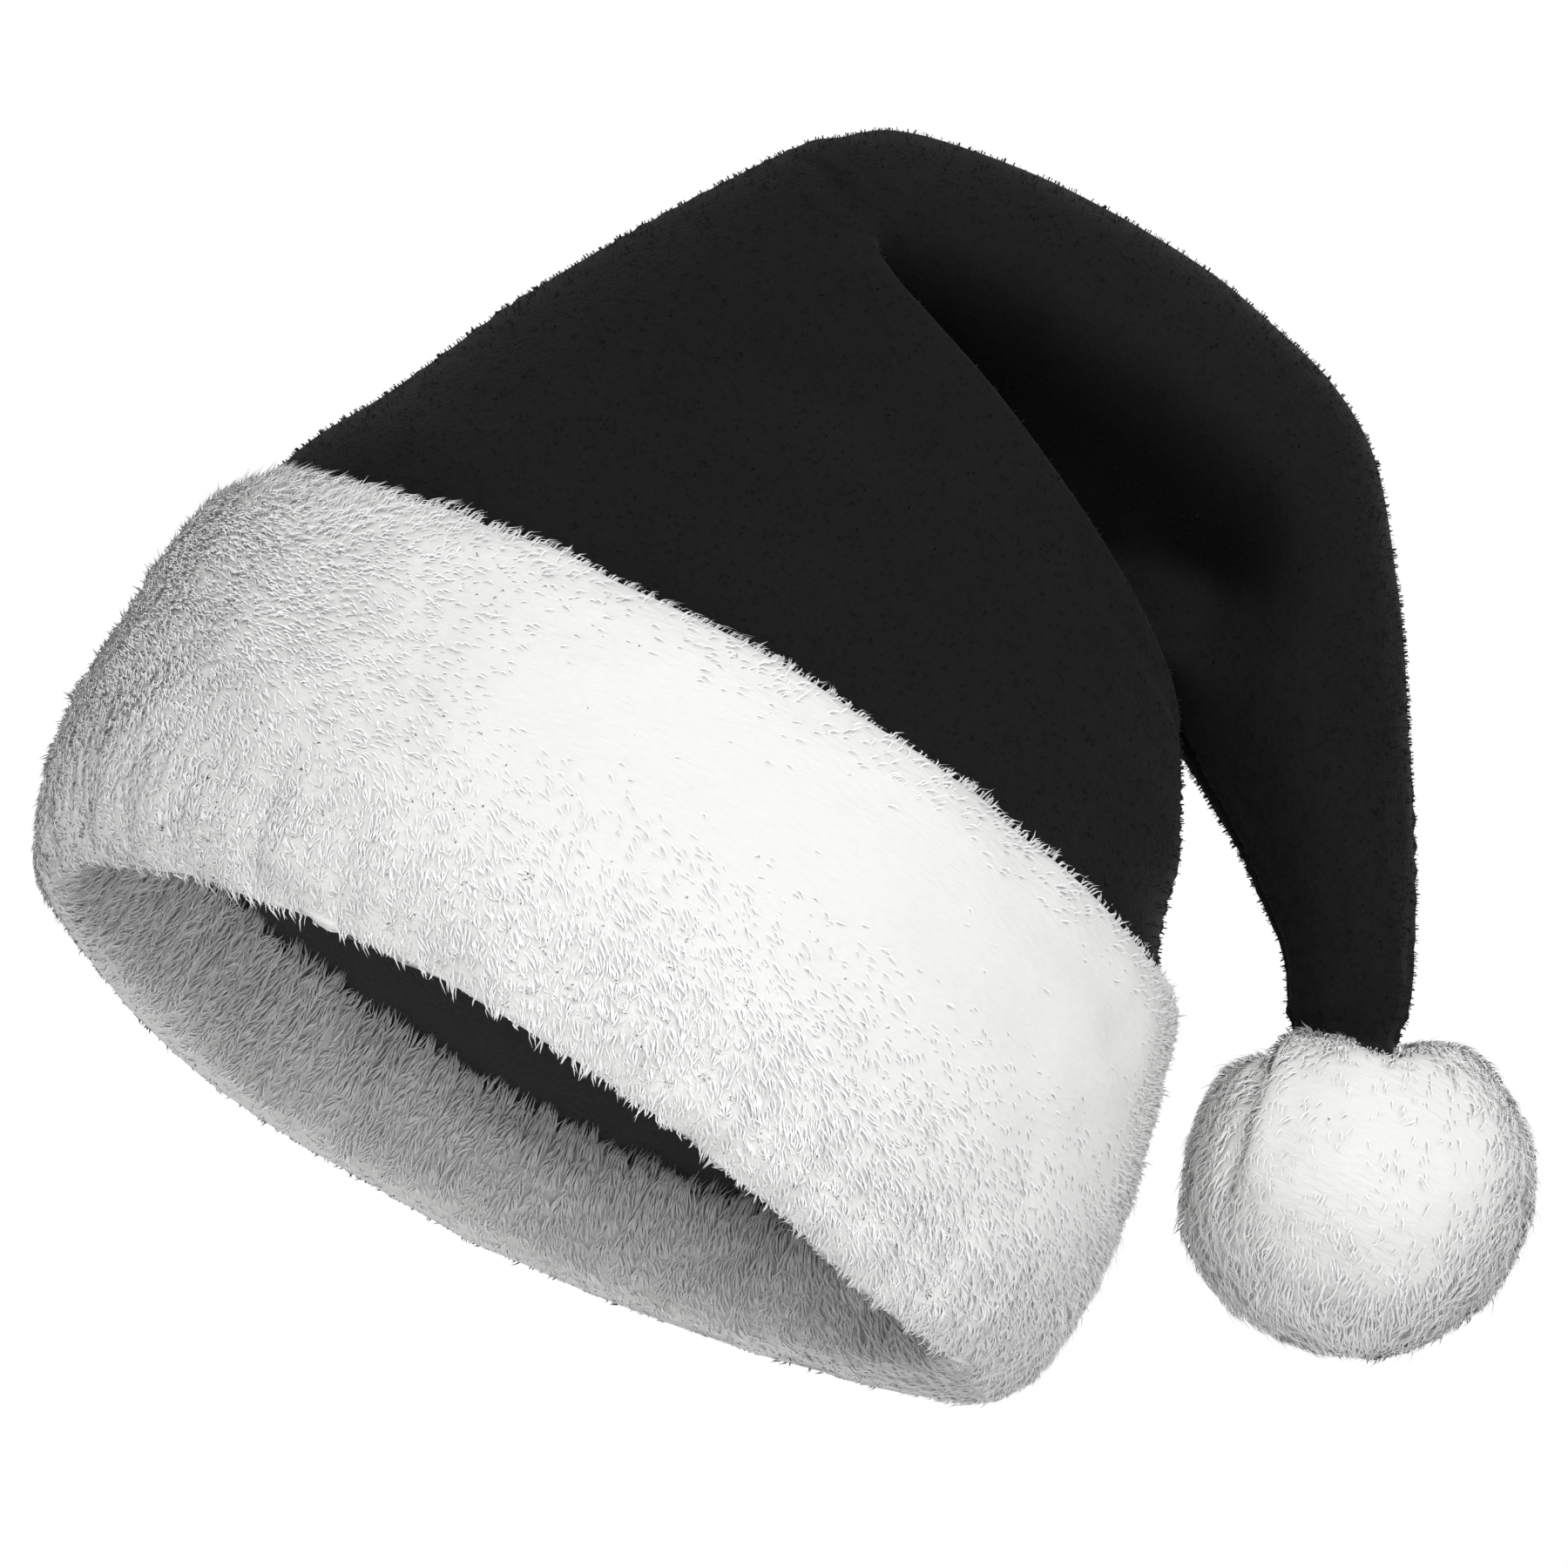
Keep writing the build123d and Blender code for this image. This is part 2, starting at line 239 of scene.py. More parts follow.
# The pleat opens from nothing at the spine to its full depth at the front and under side
from_spine = np.degrees(np.minimum(around, 2 * np.pi - around))
pleat = smoothstep(from_spine, 52.0, 88.0)[:, None]
bulge = np.array([-2.2, 0.0, 2.4]) * np.maximum(np.cos(around), 0.0)[:, None]
straight = [lip + (fold_points[0] - lip) * share + bulge * 4 * share * (1 - share)
            for share in (0.12, 0.24, 0.40, 0.58)]
pocket_depth = 21.0 - 16.0 * smoothstep(from_spine, 98.0, 150.0)[:, None]
tucked = [
    lip + inward * 4.0 - lip_up * 0.1 * pocket_depth,
    lip + inward * 7.5 - lip_up * 0.67 * pocket_depth,
    (lip + inward * 7.5) * 0.5 + root * 0.5 - lip_up * pocket_depth,
    root - lip_up * 0.2 * pocket_depth,
]
pocket = [a * (1 - pleat) + b * pleat for a, b in zip(straight, tucked)]
controls = np.concatenate([wall_points, lip[None], np.stack(pocket), fold_points])
steps = [6, 6, 9, 13, 10, 10, 5, 7, 8, 8, 16, 14, 14, 12, 12, 10, 10, 8, 4, 3, 4]
cloth_path = smooth_path(controls, steps)
row_of = np.concatenate([[0], np.cumsum(steps)])

# Behind the lip the fold falls back into a valley, on both faces, below a ridge from the spine
# to the bend. Lower down, the crown itself has one broad dent.
ridge_x = (-30.0, -18.0, 0.6, 22.0, 50.0, 76.5, 89.0)
ridge_z = (197.0, 201.0, 205.0, 206.0, 202.0, 195.0, 187.0)
across, depth, height = cloth_path[..., 0], np.abs(cloth_path[..., 1]), cloth_path[..., 2]
below_ridge = np.interp(across, ridge_x, ridge_z) - height
far_side = np.interp(across, (40.0, 60.0, 90.0), (40.0, 26.0, 14.0))
past_far_side = below_ridge - far_side
valley = 22.0 * smoothstep(below_ridge, -4.0, 24.0) * (1 - smoothstep(past_far_side, 0.0, 34.0))
valley *= smoothstep(across, -38.0, -8.0) * (1 - smoothstep(across, 76.0, 102.0))
behind_lip = smoothstep(np.arange(len(cloth_path)), row_of[7], row_of[10])[:, None]
valley *= behind_lip * smoothstep(depth, 8.0, 26.0)
# The valley's colour is darkened by choice with painted shade, where shade falls behind the pleat: 0 to 1
painted_valley_shade = smoothstep(below_ridge, -2.0, 16.0) * (1 - smoothstep(past_far_side, -2.0, 8.0))
painted_valley_shade *= smoothstep(across, -34.0, -6.0) * (1 - smoothstep(across, 80.0, 98.0)) * behind_lip
painted_valley_shade *= smoothstep(depth, 6.0, 22.0)
crown_dent = 3.0 * np.exp(-(((height - 156.0 + 0.1 * across) / 9.0) ** 2))
crown_dent *= smoothstep(across, -48.0, -22.0) * (1 - smoothstep(across, 4.0, 24.0))
crown_dent[row_of[6]:] = 0.0
pulled_in = valley + crown_dent * smoothstep(depth, 10.0, 30.0)
cloth_path[..., 1] -= np.sign(cloth_path[..., 1]) * pulled_in
# The tail's end is cut to a point on the front and on the back
hang = np.array([0.42736, 0.0, -0.90408])
point = np.maximum(1 - np.abs(np.minimum(np.abs(from_spine - 66.0), 66.0)) / 34.0, 0.0)
point_rows = smoothstep(np.arange(len(cloth_path)), row_of[19], row_of[21])[:, None, None]
point_way = hang * 7.0 + np.sign(cloth_path[-1, :, 1:2]) * np.array([0.0, 9.0, 0.0])
cloth_path += point_rows * point[None, :, None] * point_way


def soft_cloth(path, seed):
    """The path's grid moved along its normals: broad and fine dents by soft_noise, and along the
    spine and the under side a sewn groove between two low ridges that pucker stitch by stitch."""
    rows, columns = path.shape[:2]
    u, v = np.meshgrid(np.arange(columns) / columns, np.linspace(0, 1, rows))
    lift = 1.1 * soft_noise(u, v, 7, 9, seed) + 0.35 * soft_noise(u, v, 24, 34, seed + 1)
    aside = np.abs(path[..., 1])
    run = np.linalg.norm(np.diff(path, axis=0, prepend=path[:1]), axis=-1)
    run = np.cumsum(run[:, :1], axis=0)
    stitch, ridge_at, ridge_width, groove_width = 5.2, 2.8, 1.8, 1.1
    pucker = 1 + 0.7 * np.cos(2 * np.pi * run / stitch)
    ridge = 0.55 * pucker * np.exp(-(((aside - ridge_at) / ridge_width) ** 2))
    lift += ridge - 0.9 * np.exp(-((aside / groove_width) ** 2))
    return path + grid_normals(path) * lift[..., None]


cloth = soft_cloth(cloth_path, 11)


def plush_material(name, dark, light, sheen, rough, gloss=0.15, stretch=1.0, turned=0.0):
    """Short pile or knit: a colour that wanders between two near tones in patches and in grain,
    a soft sheen at grazing angles, and a fine bump of the pile's tips. A stretch below 1 draws
    the grain out level, round the hat. turned is a share of painted shade: it darkens the
    colour by that share where the attribute painted_valley_shade, the painted shade of the valley, is 1."""
    material = bpy.data.materials.new(name)
    material.use_nodes = True
    nodes, links = material.node_tree.nodes, material.node_tree.links
    shader = nodes["Principled BSDF"]
    shader.inputs["Roughness"].default_value = rough
    shader.inputs["Specular IOR Level"].default_value = gloss
    shader.inputs["Sheen Weight"].default_value = sheen
    shader.inputs["Sheen Roughness"].default_value = 0.45
    place = nodes.new("ShaderNodeTexCoord")
    patches = nodes.new("ShaderNodeTexNoise")
    patches.inputs["Scale"].default_value = 28.0
    patches.inputs["Detail"].default_value = 6.0
    grain = nodes.new("ShaderNodeTexNoise")
    grain.inputs["Scale"].default_value = 950.0
    grain.inputs["Detail"].default_value = 3.0
    both = nodes.new("ShaderNodeMix")
    both.inputs["Factor"].default_value = 0.5
    tone = nodes.new("ShaderNodeMix")
    tone.data_type = "RGBA"
    tone.inputs["A"].default_value = (*dark, 1)
    tone.inputs["B"].default_value = (*light, 1)
    bump = nodes.new("ShaderNodeBump")
    bump.inputs["Strength"].default_value = 0.5
    bump.inputs["Distance"].default_value = 0.0008
    drawn = nodes.new("ShaderNodeVectorMath")
    drawn.operation = "MULTIPLY"
    drawn.inputs[1].default_value = (stretch, stretch, 1.0)
    links.new(place.outputs["Object"], drawn.inputs[0])
    for texture in (patches, grain):
        links.new(drawn.outputs["Vector"], texture.inputs["Vector"])
    links.new(patches.outputs["Fac"], both.inputs["A"])
    links.new(grain.outputs["Fac"], both.inputs["B"])
    links.new(both.outputs["Result"], tone.inputs["Factor"])
    # Painted shade: the colour is scaled down by the attribute's share of turned
    if turned:
        attribute = nodes.new("ShaderNodeAttribute")
        attribute.attribute_name = "painted_valley_shade"
        share = nodes.new("ShaderNodeMath")
        share.operation = "MULTIPLY_ADD"
        share.inputs[1].default_value = -turned
        share.inputs[2].default_value = 1.0
        darker = nodes.new("ShaderNodeVectorMath")
        darker.operation = "SCALE"
        links.new(attribute.outputs["Fac"], share.inputs[0])
        links.new(share.outputs["Value"], darker.inputs["Scale"])
        links.new(tone.outputs["Result"], darker.inputs[0])
        links.new(darker.outputs["Vector"], shader.inputs["Base Color"])
    else:
        links.new(tone.outputs["Result"], shader.inputs["Base Color"])
    links.new(grain.outputs["Fac"], bump.inputs["Height"])
    links.new(bump.outputs["Normal"], shader.inputs["Normal"])
    return material


# black_plush carries painted shade: its colour is darkened by up to 0.7 in the valley behind the pleat
black_plush = plush_material("black_plush", (0.005, 0.005, 0.0051), (0.0118, 0.0118, 0.012),
                             0.03, 0.9, 0.04, turned=0.7)


def scatter(grid, count, seed, weight=1.0):
    """Random places on a closed-round grid, by area times the weight of each point: a cell of the
    grid by its share, and a place inside the cell. Returns the turn and row of each, in cells,
    and the random generator for what is drawn next."""
    corner = grid[:-1]
    across = np.roll(grid, -1, axis=1)[:-1] - corner
    along = grid[1:] - corner
    area = np.linalg.norm(np.cross(across, along), axis=-1)
    area = area * np.broadcast_to(weight, grid.shape[:2])[:-1]
    random = np.random.default_rng(seed)
    cell = random.choice(area.size, count, p=(area / area.sum()).ravel())
    row, column = np.divmod(cell, area.shape[1])
    return column + random.random(count), row + random.random(count), random


def on_grid(values, column, row):
    """A grid's value at places between its points, joined in straight lines both ways."""
    i = np.clip(np.floor(row).astype(int), 0, len(values) - 2)
    j = np.floor(column).astype(int)
    fr, fc = (row - i)[:, None], (column - j)[:, None]
    j, k = j % values.shape[1], (j + 1) % values.shape[1]
    low = values[i, j] * (1 - fc) + values[i, k] * fc
    return low * (1 - fr) + (values[i + 1, j] * (1 - fc) + values[i + 1, k] * fc) * fr


def fuzz(name, grid, count, seed):
    """The tips of short pile that stand off black plush, each leaning a random way."""
    column, row, random = scatter(grid, count, seed)
    roots, normals = on_grid(grid, column, row), on_grid(grid_normals(grid), column, row)
    lean = random.normal(0, 0.45, (count, 3)) + normals
    lean /= np.linalg.norm(lean, axis=-1, keepdims=True)
    length = random.uniform(0.6, 1.2, (count, 1))
    bends = roots + normals * 0.3 + lean * length * 0.5
    tips = roots + lean * length + np.array([0.0, 0.0, -0.12]) * length
    width = random.uniform(0.24, 0.42, count)
    return pile_object(name, roots - normals * 0.5, bends, tips, width, normals, 0.6, black_fibre)


def fibre_material(name, root, tip, sheen, gloss):
    """Pile strands: colour from root to tip along the strand's own UV height, and from strand to
    strand along the other way."""
    material = bpy.data.materials.new(name)
    material.use_nodes = True
    nodes, links = material.node_tree.nodes, material.node_tree.links
    shader = nodes["Principled BSDF"]
    shader.inputs["Roughness"].default_value = 0.75
    shader.inputs["Specular IOR Level"].default_value = gloss
    shader.inputs["Sheen Weight"].default_value = sheen
    place = nodes.new("ShaderNodeUVMap")
    place.uv_map = "OFBake"
    parts = nodes.new("ShaderNodeSeparateXYZ")
    strand = nodes.new("ShaderNodeTexWhiteNoise")
    strand.noise_dimensions = "1D"
    snap = nodes.new("ShaderNodeMath")
    snap.operation = "SNAP"
    snap.inputs[1].default_value = 0.012
    shade = nodes.new("ShaderNodeMix")
    shade.data_type = "RGBA"
    shade.inputs["A"].default_value = (*root, 1)
    shade.inputs["B"].default_value = (*tip, 1)
    vary = nodes.new("ShaderNodeMapRange")
    vary.inputs["To Min"].default_value = 0.9
    vary.inputs["To Max"].default_value = 1.0
    scale = nodes.new("ShaderNodeVectorMath")
    scale.operation = "SCALE"
    links.new(place.outputs["UV"], parts.inputs["Vector"])
    links.new(parts.outputs["X"], snap.inputs[0])
    links.new(snap.outputs["Value"], strand.inputs["W"])
    links.new(parts.outputs["Y"], shade.inputs["Factor"])
    links.new(strand.outputs["Value"], vary.inputs["Value"])
    links.new(shade.outputs["Result"], scale.inputs[0])
    links.new(vary.outputs["Result"], scale.inputs["Scale"])
    links.new(scale.outputs["Vector"], shader.inputs["Base Color"])
    return material


black_fibre = fibre_material("black_fibre", (0.005, 0.005, 0.0052), (0.011, 0.011, 0.0115), 0.02, 0.04)


# Each piece: its rows, its strands of pile, and where it bends between two bodies, as distances
# in mm along a direction (x, z). Only whether a piece has a bend is read here: such a piece is
# left in place, on no body.
cloth_wall = 2.2
first, crown_end, upper_end, lower_end, last = (row_of[k] for k in (0, 13, 15, 17, 21))
black_pieces = (
    ("crown_plush", first, crown_end, 19000, None),
    ("tail_top_plush", crown_end, upper_end, 2600,
     ("crown", "tail_upper", (8.5, 28.8), (0.9243, -0.3817))),
    ("tail_middle_plush", upper_end, lower_end, 2600,
     ("tail_upper", "tail_lower", (-31.0, -9.5), (0.7071, -0.7071))),
    ("tail_end_plush", lower_end, last, 1800,
     ("tail_lower", "pompom_neck", (-56.0, -36.0), (0.4274, -0.9041))),
)
stands_for = {
    "crown_plush": ("crown_front_panel", "crown_back_panel", "crown_spine_seam", "crown_under_seam"),
    "tail_top_plush": ("tail_upper_front_panel", "tail_upper_back_panel", "tail_upper_spine_seam",
                       "tail_upper_under_seam"),
    "tail_middle_plush": (),
    "tail_end_plush": ("tail_lower_front_panel", "tail_lower_back_panel", "tail_lower_spine_seam",
                       "tail_lower_under_seam"),
}
for name, low, high, strands, bending in black_pieces:
    part = cloth[low:high + 1]
    sheet = tube_object(name, part, black_plush, cloth_wall)
    # The painted shade of the valley goes on each sheet as a point attribute
    layer = sheet.data.attributes.new("painted_valley_shade", "FLOAT", "POINT")
    layer.data.foreach_set("value", painted_valley_shade[low:high + 1].astype(np.float32).ravel())
    tips = fuzz(name.replace("plush", "pile_tips"), part, strands, 100 + low)
    if bending is None:
        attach(sheet, "crown")
        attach(tips, "crown")
    else:
        for piece in (sheet, tips):
            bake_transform(piece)
    if stands_for[name]:
        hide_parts(*stands_for[name])

# ---- Lining: smooth black knit ----
# A plain cone of thin knit, two panels sewn together. It hangs inside the crown from the hem's
# top edge and closes under the pleat.
lining_rings = [
    (-109.0, 26.0, 109.0, 26.0, 89.0),
    (-108.6, 34.0, 108.6, 34.0, 88.6),
    (-106.6, 62.0, 105.6, 60.0, 84.4),
    (-104.0, 92.0, 101.2, 88.0, 75.6),
    (-102.0, 108.8, 97.2, 99.0, 72.0),
    (-90.3, 130.0, 93.8, 116.0, 64.2),
    (-72.0, 156.0, 86.0, 128.0, 53.0),
    (-50.0, 164.0, 66.0, 136.0, 33.0),
    (-20.0, 163.0, 32.0, 148.0, 12.0),
    (4.0, 157.0, 8.0, 155.5, 1.5),
]
lining_path = smooth_path(oval_rings(lining_rings, around[::2]), [4, 8, 8, 6, 8, 10, 8, 8, 5])
rows, columns = lining_path.shape[:2]
u, v = np.meshgrid(np.arange(columns) / columns, np.linspace(0, 1, rows))
sag = 0.8 * soft_noise(u, v, 9, 7, 5)
lining_cloth = lining_path - grid_normals(lining_path) * (0.8 + sag)[..., None]
black_knit = plush_material("black_knit", (0.034, 0.034, 0.0345), (0.060, 0.060, 0.061), 0.02, 0.7, 0.06)
lining = tube_object("lining_knit", lining_cloth, black_knit, 0.8)
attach(lining, "crown")
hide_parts("lining_front_panel", "lining_back_panel", "lining_seam")

# ---- Cuff: long white plush, folded double ----
# One strip of long-pile plush. Its top edge is turned in against the crown, it rolls under at the
# foot, and its inner edge is the hem inside the head opening. The pile is combed round the hat.
cuff_rings = [
    (-108.0, 29.5, 108.0, 29.5, 88.0),
    (-106.0, 29.0, 106.0, 29.0, 86.0),
    (-103.2, 23.5, 103.2, 23.5, 83.2),
    (-102.5, 14.0, 102.5, 14.0, 82.5),
    (-104.0, 4.5, 104.0, 4.5, 84.0),
    (-109.0, 0.8, 109.0, 0.8, 88.8),
    (-116.0, 7.5, 116.0, 7.5, 95.3),
    (-120.3, 20.0, 120.0, 20.0, 99.4),
    (-121.2, 38.0, 121.0, 38.0, 100.3),
    (-119.6, 62.0, 120.0, 58.0, 98.2),
    (-116.7, 86.0, 117.6, 76.0, 94.3),
    (-114.2, 101.5, 114.0, 90.0, 90.0),
    (-110.5, 107.8, 108.5, 97.0, 84.0),
    (-106.0, 108.0, 102.0, 98.5, 77.5),
    (-103.0, 101.0, 98.0, 92.5, 73.0),
]
cuff_steps = [2, 4, 4, 4, 4, 6, 6, 6, 8, 8, 6, 4, 4, 3]
cuff_row = np.concatenate([[0], np.cumsum(cuff_steps)])
cuff_envelope = smooth_path(oval_rings(cuff_rings, around), cuff_steps)
rows, columns = cuff_envelope.shape[:2]


def round_profile(values):
    """One value for each turn of a ring, from values every 30 degrees, drawn smooth by an average
    over 30 degrees on the ring."""
    table = np.interp(np.degrees(around), np.arange(0, 361, 30), list(values) + [values[0]])
    window = np.hanning(2 * (turns // 12) + 1)
    wrapped = np.concatenate([table, table, table])
    return np.convolve(wrapped, window / window.sum(), mode="same")[turns:2 * turns]


# The cloth is soft, all in mm: its foot, its top edge and its hem sway up and down round the hat,
# and its waist shifts towards -X
foot_sway = round_profile((5.5, 5.0, 4.0, 0.0, -9.5, -13.0, -3.5, -2.0, -3.5, -3.5, -2.5, 3.5))
top_sway = round_profile((-9.5, -8.0, -6.5, -8.0, -8.5, -8.0, -5.0, -2.0, -2.0, -2.0, -3.0, -7.5))
hem_sway = round_profile((11.0, 8.0, 2.0, 0.0, 0.0, 0.0, 0.0, 0.0, 0.0, 1.0, 4.5, 9.0))
waist_shift = round_profile((2.0, 1.0, 0.0, 0.0, 0.3, 0.8, 1.0, 0.8, 0.3, 0.0, 0.0, 1.0))
foot_share = np.interp(np.arange(rows), cuff_row[[0, 2, 4, 7, 10, 14]], [0.0, 0.3, 1.0, 1.0, 0.2, 0.0])
top_share = np.interp(np.arange(rows), cuff_row[[0, 8, 10, 11, 14]], [0.0, 0.0, 0.6, 1.0, 1.0])
waist_share = np.interp(np.arange(rows), cuff_row[[0, 5, 7, 8, 11, 12, 14]],
                        [0.0, 0.0, 0.5, 0.9, 1.0, 0.4, 0.0])
hem_share = np.interp(np.arange(rows), cuff_row[[0, 2, 4, 14]], [1.0, 1.0, 0.0, 0.0])
cuff_envelope[..., 2] += foot_share[:, None] * foot_sway + top_share[:, None] * top_sway
cuff_envelope[..., 2] += hem_share[:, None] * hem_sway
cuff_envelope[..., 0] -= waist_share[:, None] * waist_shift
# The inner wall is thicker at the end beside the pompom
thick_end = round_profile((0.0, 0.0, 0.0, 0.0, 1.0, 7.0, 9.0, 6.0, 1.0, 0.0, 0.0, 0.0))
inner_share = np.interp(np.arange(rows), cuff_row[[0, 2, 4, 5, 14]], [0.6, 1.0, 0.8, 0.0, 0.0])
cuff_envelope[..., 0] -= inner_share[:, None] * thick_end
u, v = np.meshgrid(np.arange(columns) / columns, np.linspace(0, 1, rows))
pile_height = np.interp(np.arange(rows), cuff_row[[0, 2, 4, 6, 11, 13, 14]],
                        [1.0, 2.0, 2.2, 2.8, 2.8, 2.2, 1.2])
lumps = 1.0 * soft_noise(u, v, 16, 7, 21) + 0.7 * soft_noise(u, v, 48, 18, 22)
streaks = np.interp(np.arange(rows), cuff_row[[0, 5, 6, 7, 8, 14]], [0.0, 0.0, 1.0, 0.6, 0.0, 0.0])
lumps += 1.3 * streaks[:, None] * soft_noise(u, v, 130, 5, 23)
normals = grid_normals(cuff_envelope)
cuff_base = cuff_envelope - normals * (pile_height[:, None] - lumps)[..., None]
white_plush = plush_material("white_plush", (0.655, 0.648, 0.635), (0.72, 0.713, 0.70), 0.05, 0.95,
                             stretch=0.3)
white_fibre = fibre_material("white_fibre", (0.888, 0.881, 0.866), (0.95, 0.945, 0.934), 0.1, 0.2)
strand_width = 0.42
cuff = tube_object("cuff_plush", cuff_base, white_plush, 1.6)
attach(cuff, "crown")
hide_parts("cuff_plush_strip", "cuff_end_seam", "cuff_top_stitching", "hem_joining_stitching")


def combed_pile(grid, count, seed, comb, lean, length, gather, width, swirl, clump, weight):
    """Long pile on a closed-round grid. These take one value, or one for each of its points: comb
    is the combing angle in radians, 0 round the ring and a quarter turn along the rows; lean is
    the strand's angle off the normal; length is its length; clump is the size of a tuft in mm;
    gather is the share by which a tip is drawn to the middle of its tuft; weight is how thick
    the pile stands. swirl is how far soft_noise turns the combing in patches, and width is a
    strand's mean width in mm. One strand in twenty stands a little more upright. Returns the
    turn and row of each strand, its root, bend, tip and width, and the cloth's normal there."""
    column, row, random = scatter(grid, count, seed, weight)
    grid_rows, grid_columns = grid.shape[:2]
    style = np.stack([np.broadcast_to(values, (grid_rows, grid_columns))
                      for values in (comb, lean, length, gather, clump)], -1)
    angle, off, reach, pull, tuft = on_grid(style, column, row).T
    tuft = np.round(tuft)
    roots, normal = on_grid(grid, column, row), on_grid(grid_normals(grid), column, row)
    turn_way = (np.roll(grid, -1, axis=1) - np.roll(grid, 1, axis=1)) / 2
    along_way = np.gradient(grid, axis=0)
    step_round, step_along = on_grid(turn_way, column, row), on_grid(along_way, column, row)
    size_round = np.linalg.norm(step_round, axis=-1, keepdims=True)
    size_along = np.linalg.norm(step_along, axis=-1, keepdims=True)
    unit_round, unit_along = step_round / (size_round + 1e-9), step_along / (size_along + 1e-9)
    u, v = column / grid_columns, row / grid_rows
    broad, fine = soft_noise(u, v, 26, 9, seed + 1), soft_noise(u, v, 90, 30, seed + 2)
    turned = swirl * (0.7 * broad + 0.6 * fine)
    angle = angle + turned + random.normal(0, 0.16, count)
    way = unit_round * np.cos(angle)[:, None] + unit_along * np.sin(angle)[:, None]
    off = off + 0.16 * soft_noise(u, v, 60, 24, seed + 3) + random.normal(0, 0.08, count)
    off = (off - 0.3 * (random.random(count) < 0.05))[:, None]
    cells_u = np.maximum(np.round(size_round[:, 0] * grid_columns / tuft / 6) * 6, 1)
    cells_v = np.maximum(np.round(size_along[:, 0] * grid_rows / tuft / 3) * 3, 1)
    shifted = v * cells_v + 0.5 * np.mod(np.floor(u * cells_u), 2)
    cell_u, cell_v = np.floor(u * cells_u), np.floor(shifted)
    # One random value for each tuft, by a sine hash of its cell
    hashed = np.sin(cell_u * 12.9898 + cell_v * 78.233 + seed) * 43758.5453
    jitter = hashed - np.floor(hashed)
    reach = (reach * (0.8 + 0.35 * jitter) * random.uniform(0.75, 1.1, count))[:, None]
    first_way = normal * np.cos(off * 0.75) + way * np.sin(off * 0.75)
    then_way = normal * np.cos(off * 1.2) + way * np.sin(off * 1.2)
    bends = roots + first_way * reach * 0.5
    tips = bends + then_way * reach * 0.5
    to_u = ((cell_u + 0.3 + 0.4 * jitter) / cells_u - u) * grid_columns
    to_v = ((cell_v + 0.7 - 0.4 * jitter) - shifted) / cells_v * grid_rows
    draw = step_round * to_u[:, None] + step_along * to_v[:, None]
    pull = (pull * random.uniform(0.6, 1.1, count))[:, None]
    tips = tips + draw * pull + normal * (0.5 * (jitter - 0.5))[:, None]
    bends = bends + draw * pull * 0.25
    widths = random.uniform(0.75, 1.15, count) * width
    return column, row, roots - normal * 0.6, bends, tips, widths, normal


# Pile by row, from the hem's top edge round the foot to the cuff's top edge
marks = cuff_row[[0, 2, 4, 5, 6, 7, 8, 9, 10, 12, 13, 14]]


def by_row(values):
    """One value for each row of the cuff, from values at the marks, in straight lines."""
    return np.interp(np.arange(rows), marks, values)[:, None]


# The broad front and back are shown almost bare of strands, as cloth brushed flat and smooth, and
# the pile at the two ends stands up a little
half_turn = np.mod(around, np.pi)
from_end = np.degrees(np.minimum(half_turn, np.pi - half_turn))
flat_from = np.where(np.cos(around) > 0, from_end, 2 * from_end + 20.0)
brushed = smoothstep(flat_from, 24.0, 76.0)[None, :]
flat_rows = by_row([0, 0, 0, 0, 0, 0.2, 0.8, 1, 1, 0.8, 0.1, 0])
cuff_comb = by_row([-1.5, -1.5, -1.3, -1.2, -1.0, -1.1, -0.6, -0.1, 0.0, 0.8, 1.2, 1.4])
pressed = flat_rows * np.sqrt(brushed)
cuff_lean = by_row([0.8, 1.15, 1.3, 1.4, 1.4, 1.35, 1.3, 1.3, 1.3, 1.1, 0.8, 0.6]) + 0.3 * pressed
cuff_length = by_row([4.6, 4.8, 3.6, 2.4, 2.2, 3.4, 4.6, 5.2, 5.2, 5.0, 4.2, 3.5])
cuff_length = cuff_length * (1 - 0.4 * pressed)
# At the back the foot's pile is kept short, so that no loose strands edge the far rim
at_back = smoothstep(cuff_base[..., 1], 10.0, 50.0)
kept_short = by_row([0, 0, 0.3, 1, 1, 1, 0.6, 0, 0, 0, 0, 0]) * at_back
cuff_length = cuff_length * (1 - 0.68 * kept_short)
cuff_gather = by_row([0.6, 0.5, 0.5, 0.5, 0.7, 0.7, 0.5, 0.4, 0.4, 0.7, 0.9, 0.9])
cuff_weight = by_row([2.2, 1.3, 1.1, 1.1, 1.2, 1.2, 1.1, 1, 1, 1.2, 1.8, 1.8])
cuff_weight = cuff_weight * (1 - 0.997 * flat_rows * brushed)
cuff_soft = by_row([0.6, 0.5, 0.45, 0.55, 0.7, 0.74, 0.7, 0.66, 0.66, 0.7, 0.7, 0.7])
cuff_clump = by_row([5, 6, 6, 5, 4, 4, 4, 4, 4, 4, 5, 5])
cuff_soft = cuff_soft + (0.97 - cuff_soft) * np.maximum(flat_rows, 0.5) * brushed
cuff_strands, cuff_swirl = 92000, 0.38
strands = combed_pile(cuff_base, cuff_strands, 31, cuff_comb, cuff_lean, cuff_length, cuff_gather,
                      strand_width, cuff_swirl, cuff_clump, cuff_weight)
softness = on_grid(cuff_soft[..., None], strands[0], strands[1])[:, 0]
# The strands in order round the hat, in as many equal pieces
sectors = 7
place_in_order = np.argsort(np.argsort(strands[0], kind="stable"), kind="stable")
sector_of = place_in_order * sectors // cuff_strands
for sector in range(sectors):
    mine = sector_of == sector
    tuft = pile_object(f"cuff_pile_{sector + 1}", *(values[mine] for values in strands[2:]), softness[mine],
                       white_fibre)
    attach(tuft, "crown")

